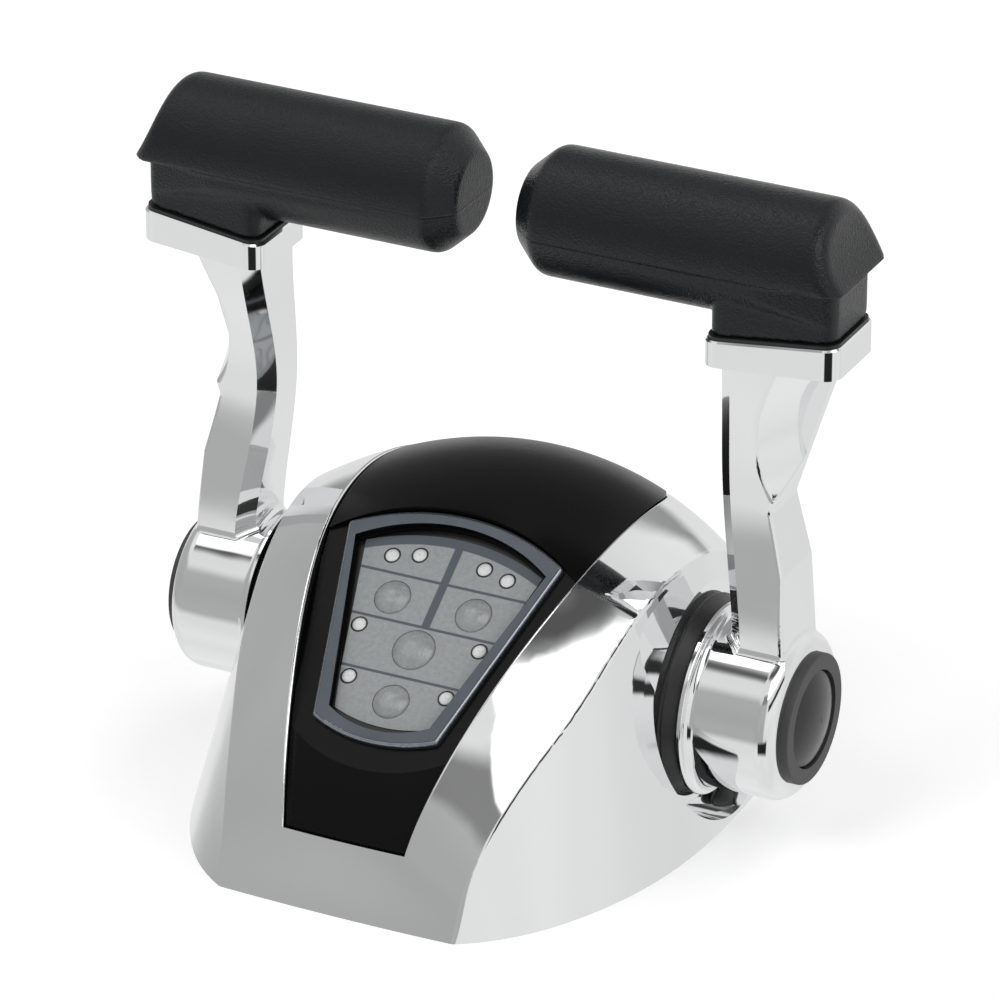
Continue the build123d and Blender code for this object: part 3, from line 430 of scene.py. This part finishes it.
def dome(name, radius, rise, place, sole, finish, rings=10, sides=40):
    """A round blister on the panel: a domed cap, over a wall that goes down to its sole."""
    x, y, level = place
    shape = bmesh.new()
    shares = [ring / rings for ring in range(1, rings + 1)]
    loops = [(radius * share, rise * (1 - share * share)) for share in shares]
    loops.append((radius, sole))
    turns = [2 * pi * side / sides for side in range(sides)]
    rows = []
    for reach, height in loops:
        points = [(x + reach * cos(turn), y + reach * sin(turn), height + level) for turn in turns]
        rows.append([shape.verts.new(point) for point in points])
    middle = shape.verts.new((x, y, rise + level))
    for side in range(sides):
        after = (side + 1) % sides
        shape.faces.new((middle, rows[0][side], rows[0][after]))
        for inner, outer in zip(rows, rows[1:]):
            shape.faces.new((inner[side], outer[side], outer[after], inner[after]))
    shape.faces.new(list(reversed(rows[-1])))
    for face in shape.faces:
        face.smooth = True
    return on_panel(name, shape, finish)


key_grey = Finish("key_blister", Specular_IOR_Level=0.9)
spot = key_grey.place()
mottle = key_grey.noise(spot, scale=0.7, detail=5.0, roughness=0.7)
stretched = key_grey.node("ShaderNodeMapping", None, {"Vector": spot, "Scale": streak_stretch})
streak = key_grey.noise(stretched, scale=0.6, detail=3.0)
key_grey.set(
    Base_Color=key_grey.colours(mottle, *film_greys),
    Roughness=0.2 + 0.12 * mottle,
    Normal=key_grey.bump(streak, millimetres=0.12),
)
for name, place, radius, rise in keys:
    key = dome(f"{name}_blister", radius, rise, (*place, film_top), -key_sole, key_grey)
    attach(key, name)
    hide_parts(name)

# ---------------------------------------------------------------- indicator lights
# Eight small white lamps stand in the film, four on each side. Each is a clouded lens in a black
# collar, with its die under the middle of the lens.
led_places = ((0.0096, 0.0247), (0.0171, 0.0229), (0.0178, 0.001), (0.0144, -0.0144))
led_sole = -0.0004              # foot of each part, from where the part starts over the film
lens_whites = (0.66, 0.7, 0.68, 1), (0.92, 0.94, 0.92, 1)

lens_white = Finish("lens_white", Roughness=0.18, Coat_Weight=0.5)
cloud = lens_white.noise(lens_white.place(), scale=1.2)
lens_white.set(Base_Color=lens_white.colours(cloud, *lens_whites))
collar_black = Finish("lamp_collar", Base_Color=(0.03, 0.034, 0.037, 1))
rub = collar_black.noise(collar_black.place(), scale=2.0)
collar_black.set(Roughness=0.3 + 0.2 * rub)
led_parts = (                   # name, radius, rise, start over the film, finish
    ("collar", 0.0024, 0.0002, 0.0, collar_black),
    ("lens", 0.0019, 0.00045, 0.0001, lens_white),
    ("die", 0.0003, 0.00005, 0.0005, collar_black),
)
led_pieces = []
for side in (1, -1):
    for x, y in led_places:
        for part, radius, rise, start, finish in led_parts:
            place = (side * x, y, film_top + start)
            piece = dome(f"led_{part}", radius, rise, place, led_sole, finish, rings=4, sides=24)
            led_pieces.append(piece)
with bpy.context.temp_override(active_object=led_pieces[0], selected_editable_objects=led_pieces):
    bpy.ops.object.join()
leds = led_pieces[0]
leds.name = "led_lamps"
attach(leds, "root")
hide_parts("led_lenses")

# ---------------------------------------------------------------- circuit board
# The board is glass cloth under green solder mask. It lies in the insert's pocket under the film,
# and carries a switch under each key.
board_greens = (0.012, 0.08, 0.03, 1), (0.03, 0.16, 0.07, 1)

board = Finish("board")
cloth = board.noise(board.place(), scale=1.5)
board.set(Base_Color=board.colours(cloth, *board_greens), Roughness=0.3 + 0.2 * cloth)
wear("keypad_circuit_board", board)

# ---------------------------------------------------------------- levers
# The arms and the collars at their tops are chromed castings, polished by hand, so their faces
# swell a little. Each arm is one piece with its hub, and is pressed onto its shaft and held by a
# screw under the cap.
hand_polish = Finish("hand_polish", Base_Color=(0.87, 0.875, 0.88, 1), Metallic=1.0)
swell = hand_polish.noise(hand_polish.place(), scale=0.05, detail=1.0, roughness=0.4)
smear = hand_polish.noise(hand_polish.place(), scale=0.15, detail=4.0, roughness=0.6)
hand_polish.set(Roughness=0.02 + 0.04 * smear, Normal=hand_polish.bump(swell, millimetres=0.3))
for side in ("starboard", "port"):
    wear(f"{side}_lever_arm", hand_polish)
    wear(f"{side}_lever_collar", hand_polish)

# ---------------------------------------------------------------- grips
# Black rubber mouldings with a fine leather grain and a thin line where the halves of the mould
# met. Each grip's neck stands on a gasket on top of its lever's collar.
grip_blacks = (0.004, 0.0056, 0.0068, 1), (0.008, 0.0102, 0.012, 1)
grip_roughness = {"starboard": 0.15, "port": 0.26}  # the starboard grip is the shinier one
parting_line = 163.8            # height of the mould's parting line, in millimetres
parting_half = (0.1, 0.35)      # where that line starts to end and where it has ended
grip_voxel = 0.0006
grip_smoothing = 9

for side, least_roughness in grip_roughness.items():
    rubber = Finish(f"{side}_grip_rubber", Specular_IOR_Level=0.38)
    spot = rubber.place()
    _, _, height = rubber.axes(spot)
    pebble = rubber.noise(spot, scale=1.7, detail=1.0)
    crumb = rubber.noise(spot, scale=3.0)
    patch = rubber.noise(spot, scale=0.05, detail=3.0)
    flash = 1 - height.away_from(parting_line).between(*parting_half)
    rubber.set(
        Base_Color=rubber.colours(patch, *grip_blacks),
        Roughness=least_roughness + 0.16 * pebble,
        Normal=rubber.bump(pebble + 0.15 * crumb + 0.9 * flash, millimetres=0.24),
    )
    cad_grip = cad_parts[f"{side}_lever_grip"]
    grip = bpy.data.objects.new(f"{side}_grip_skin", cad_grip.data.copy())
    grip.matrix_world = cad_grip.matrix_world
    bpy.context.scene.collection.objects.link(grip)
    grip.data.materials.clear()
    grip.data.materials.append(rubber.owner)
    skin = grip.modifiers.new("skin", "REMESH")
    skin.mode = "VOXEL"
    skin.voxel_size = grip_voxel
    skin.use_smooth_shade = True
    soften = grip.modifiers.new("soften", "SMOOTH")
    soften.factor = 0.5
    soften.iterations = grip_smoothing
    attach(grip, f"{side}_lever")
    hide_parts(f"{side}_lever_grip")

# ---------------------------------------------------------------- gaskets and seals
# Smooth black rubber, cut from sheet. It is squeezed between each grip and its collar, between
# each hub and its seat on the shell, and between the base plate and the deck.
seal_blacks = (0.007, 0.007, 0.0075, 1), (0.018, 0.018, 0.019, 1)

seal = Finish("seal_rubber")
bloom = seal.noise(seal.place(), scale=0.4, detail=3.0)
seal.set(Base_Color=seal.colours(bloom, *seal_blacks), Roughness=0.28 + 0.2 * bloom)
for side in ("starboard", "port"):
    wear(f"{side}_grip_gasket", seal)
    wear(f"{side}_hub_seal", seal)
wear("deck_gasket", seal)

# ---------------------------------------------------------------- hub trim
# A matt dark-grey ring is pressed into the end of each hub round a domed black cap, which hides
# the hub's screw.
ring_greys = (0.038, 0.038, 0.039, 1), (0.066, 0.066, 0.068, 1)

ring = Finish("hub_ring", Roughness=0.5)
speck = ring.noise(ring.place(), scale=2.5, detail=3.0)
ring.set(Base_Color=ring.colours(speck, *ring_greys), Normal=ring.bump(speck, millimetres=0.03))
cap = Finish("hub_cap", Base_Color=(0.012, 0.012, 0.012, 1))
swirl = cap.noise(cap.place(), scale=0.3, detail=3.0)
cap.set(Roughness=0.16 + 0.14 * swirl)
for side in ("starboard", "port"):
    wear(f"{side}_hub_ring", ring)
    wear(f"{side}_hub_cap", cap)

# ---------------------------------------------------------------- shafts, screws and bearings
# The shafts and screws are turned from stainless steel. The flanged bushings that the shafts run
# in are sintered bronze, pressed into the shell and into the bracket.
bronzes = (0.36, 0.23, 0.1, 1), (0.58, 0.4, 0.18, 1)

steel = Finish("steel", Base_Color=(0.55, 0.55, 0.56, 1), Metallic=1.0)
turned = steel.noise(steel.place(), scale=1.0, detail=3.0)
steel.set(Roughness=0.2 + 0.2 * turned)
bronze = Finish("bronze", Metallic=1.0, Roughness=0.4)
pores = bronze.noise(bronze.place(), scale=3.0, detail=3.0)
bronze.set(Base_Color=bronze.colours(pores, *bronzes), Normal=bronze.bump(pores, millimetres=0.04))
for side in ("starboard", "port"):
    wear(f"{side}_lever_shaft", steel)
    wear(f"{side}_hub_screw", steel)
    wear(f"{side}_outer_bushing", bronze)
    wear(f"{side}_inner_bushing", bronze)
wear("base_screws", steel)
wear("bracket_screws", steel)

# ---------------------------------------------------------------- drive
# The gear on each shaft, and the pinion that it turns on a position sensor, are cut from white
# acetal. The sensor and the shoe that rubs on the gear's boss are black plastic mouldings.
acetal_whites = (0.66, 0.65, 0.6, 1), (0.8, 0.79, 0.76, 1)
plastic_blacks = (0.014, 0.014, 0.015, 1), (0.028, 0.028, 0.03, 1)

acetal = Finish("acetal")
oil = acetal.noise(acetal.place(), scale=0.3, detail=3.0)
acetal.set(Base_Color=acetal.colours(oil, *acetal_whites), Roughness=0.3 + 0.2 * oil)
plastic = Finish("black_plastic", Roughness=0.5)
spark = plastic.noise(plastic.place(), scale=3.5)
plastic.set(
    Base_Color=plastic.colours(spark, *plastic_blacks),
    Normal=plastic.bump(spark, millimetres=0.04),
)
for side in ("starboard", "port"):
    wear(f"{side}_drive_gear", acetal)
    wear(f"{side}_sensor_pinion", acetal)
    wear(f"{side}_sensor_body", plastic)
    wear(f"{side}_friction_shoe", plastic)

# ---------------------------------------------------------------- base and bracket
# Aluminium castings, bead-blasted and left bare: the plate that is screwed to the shell's posts,
# and the channel on it that carries the inner bearings and the sensors.
cast_greys = (0.36, 0.37, 0.38, 1), (0.52, 0.53, 0.54, 1)

cast = Finish("cast", Metallic=0.9)
beads = cast.noise(cast.place(), scale=1.8, detail=3.0, roughness=0.6)
stain = cast.noise(cast.place(), scale=0.05, detail=3.0)
cast.set(
    Base_Color=cast.colours(stain, *cast_greys),
    Roughness=0.42 + 0.2 * beads,
    Normal=cast.bump(beads, millimetres=0.08),
)
wear("base_plate", cast)
wear("mechanism_bracket", cast)
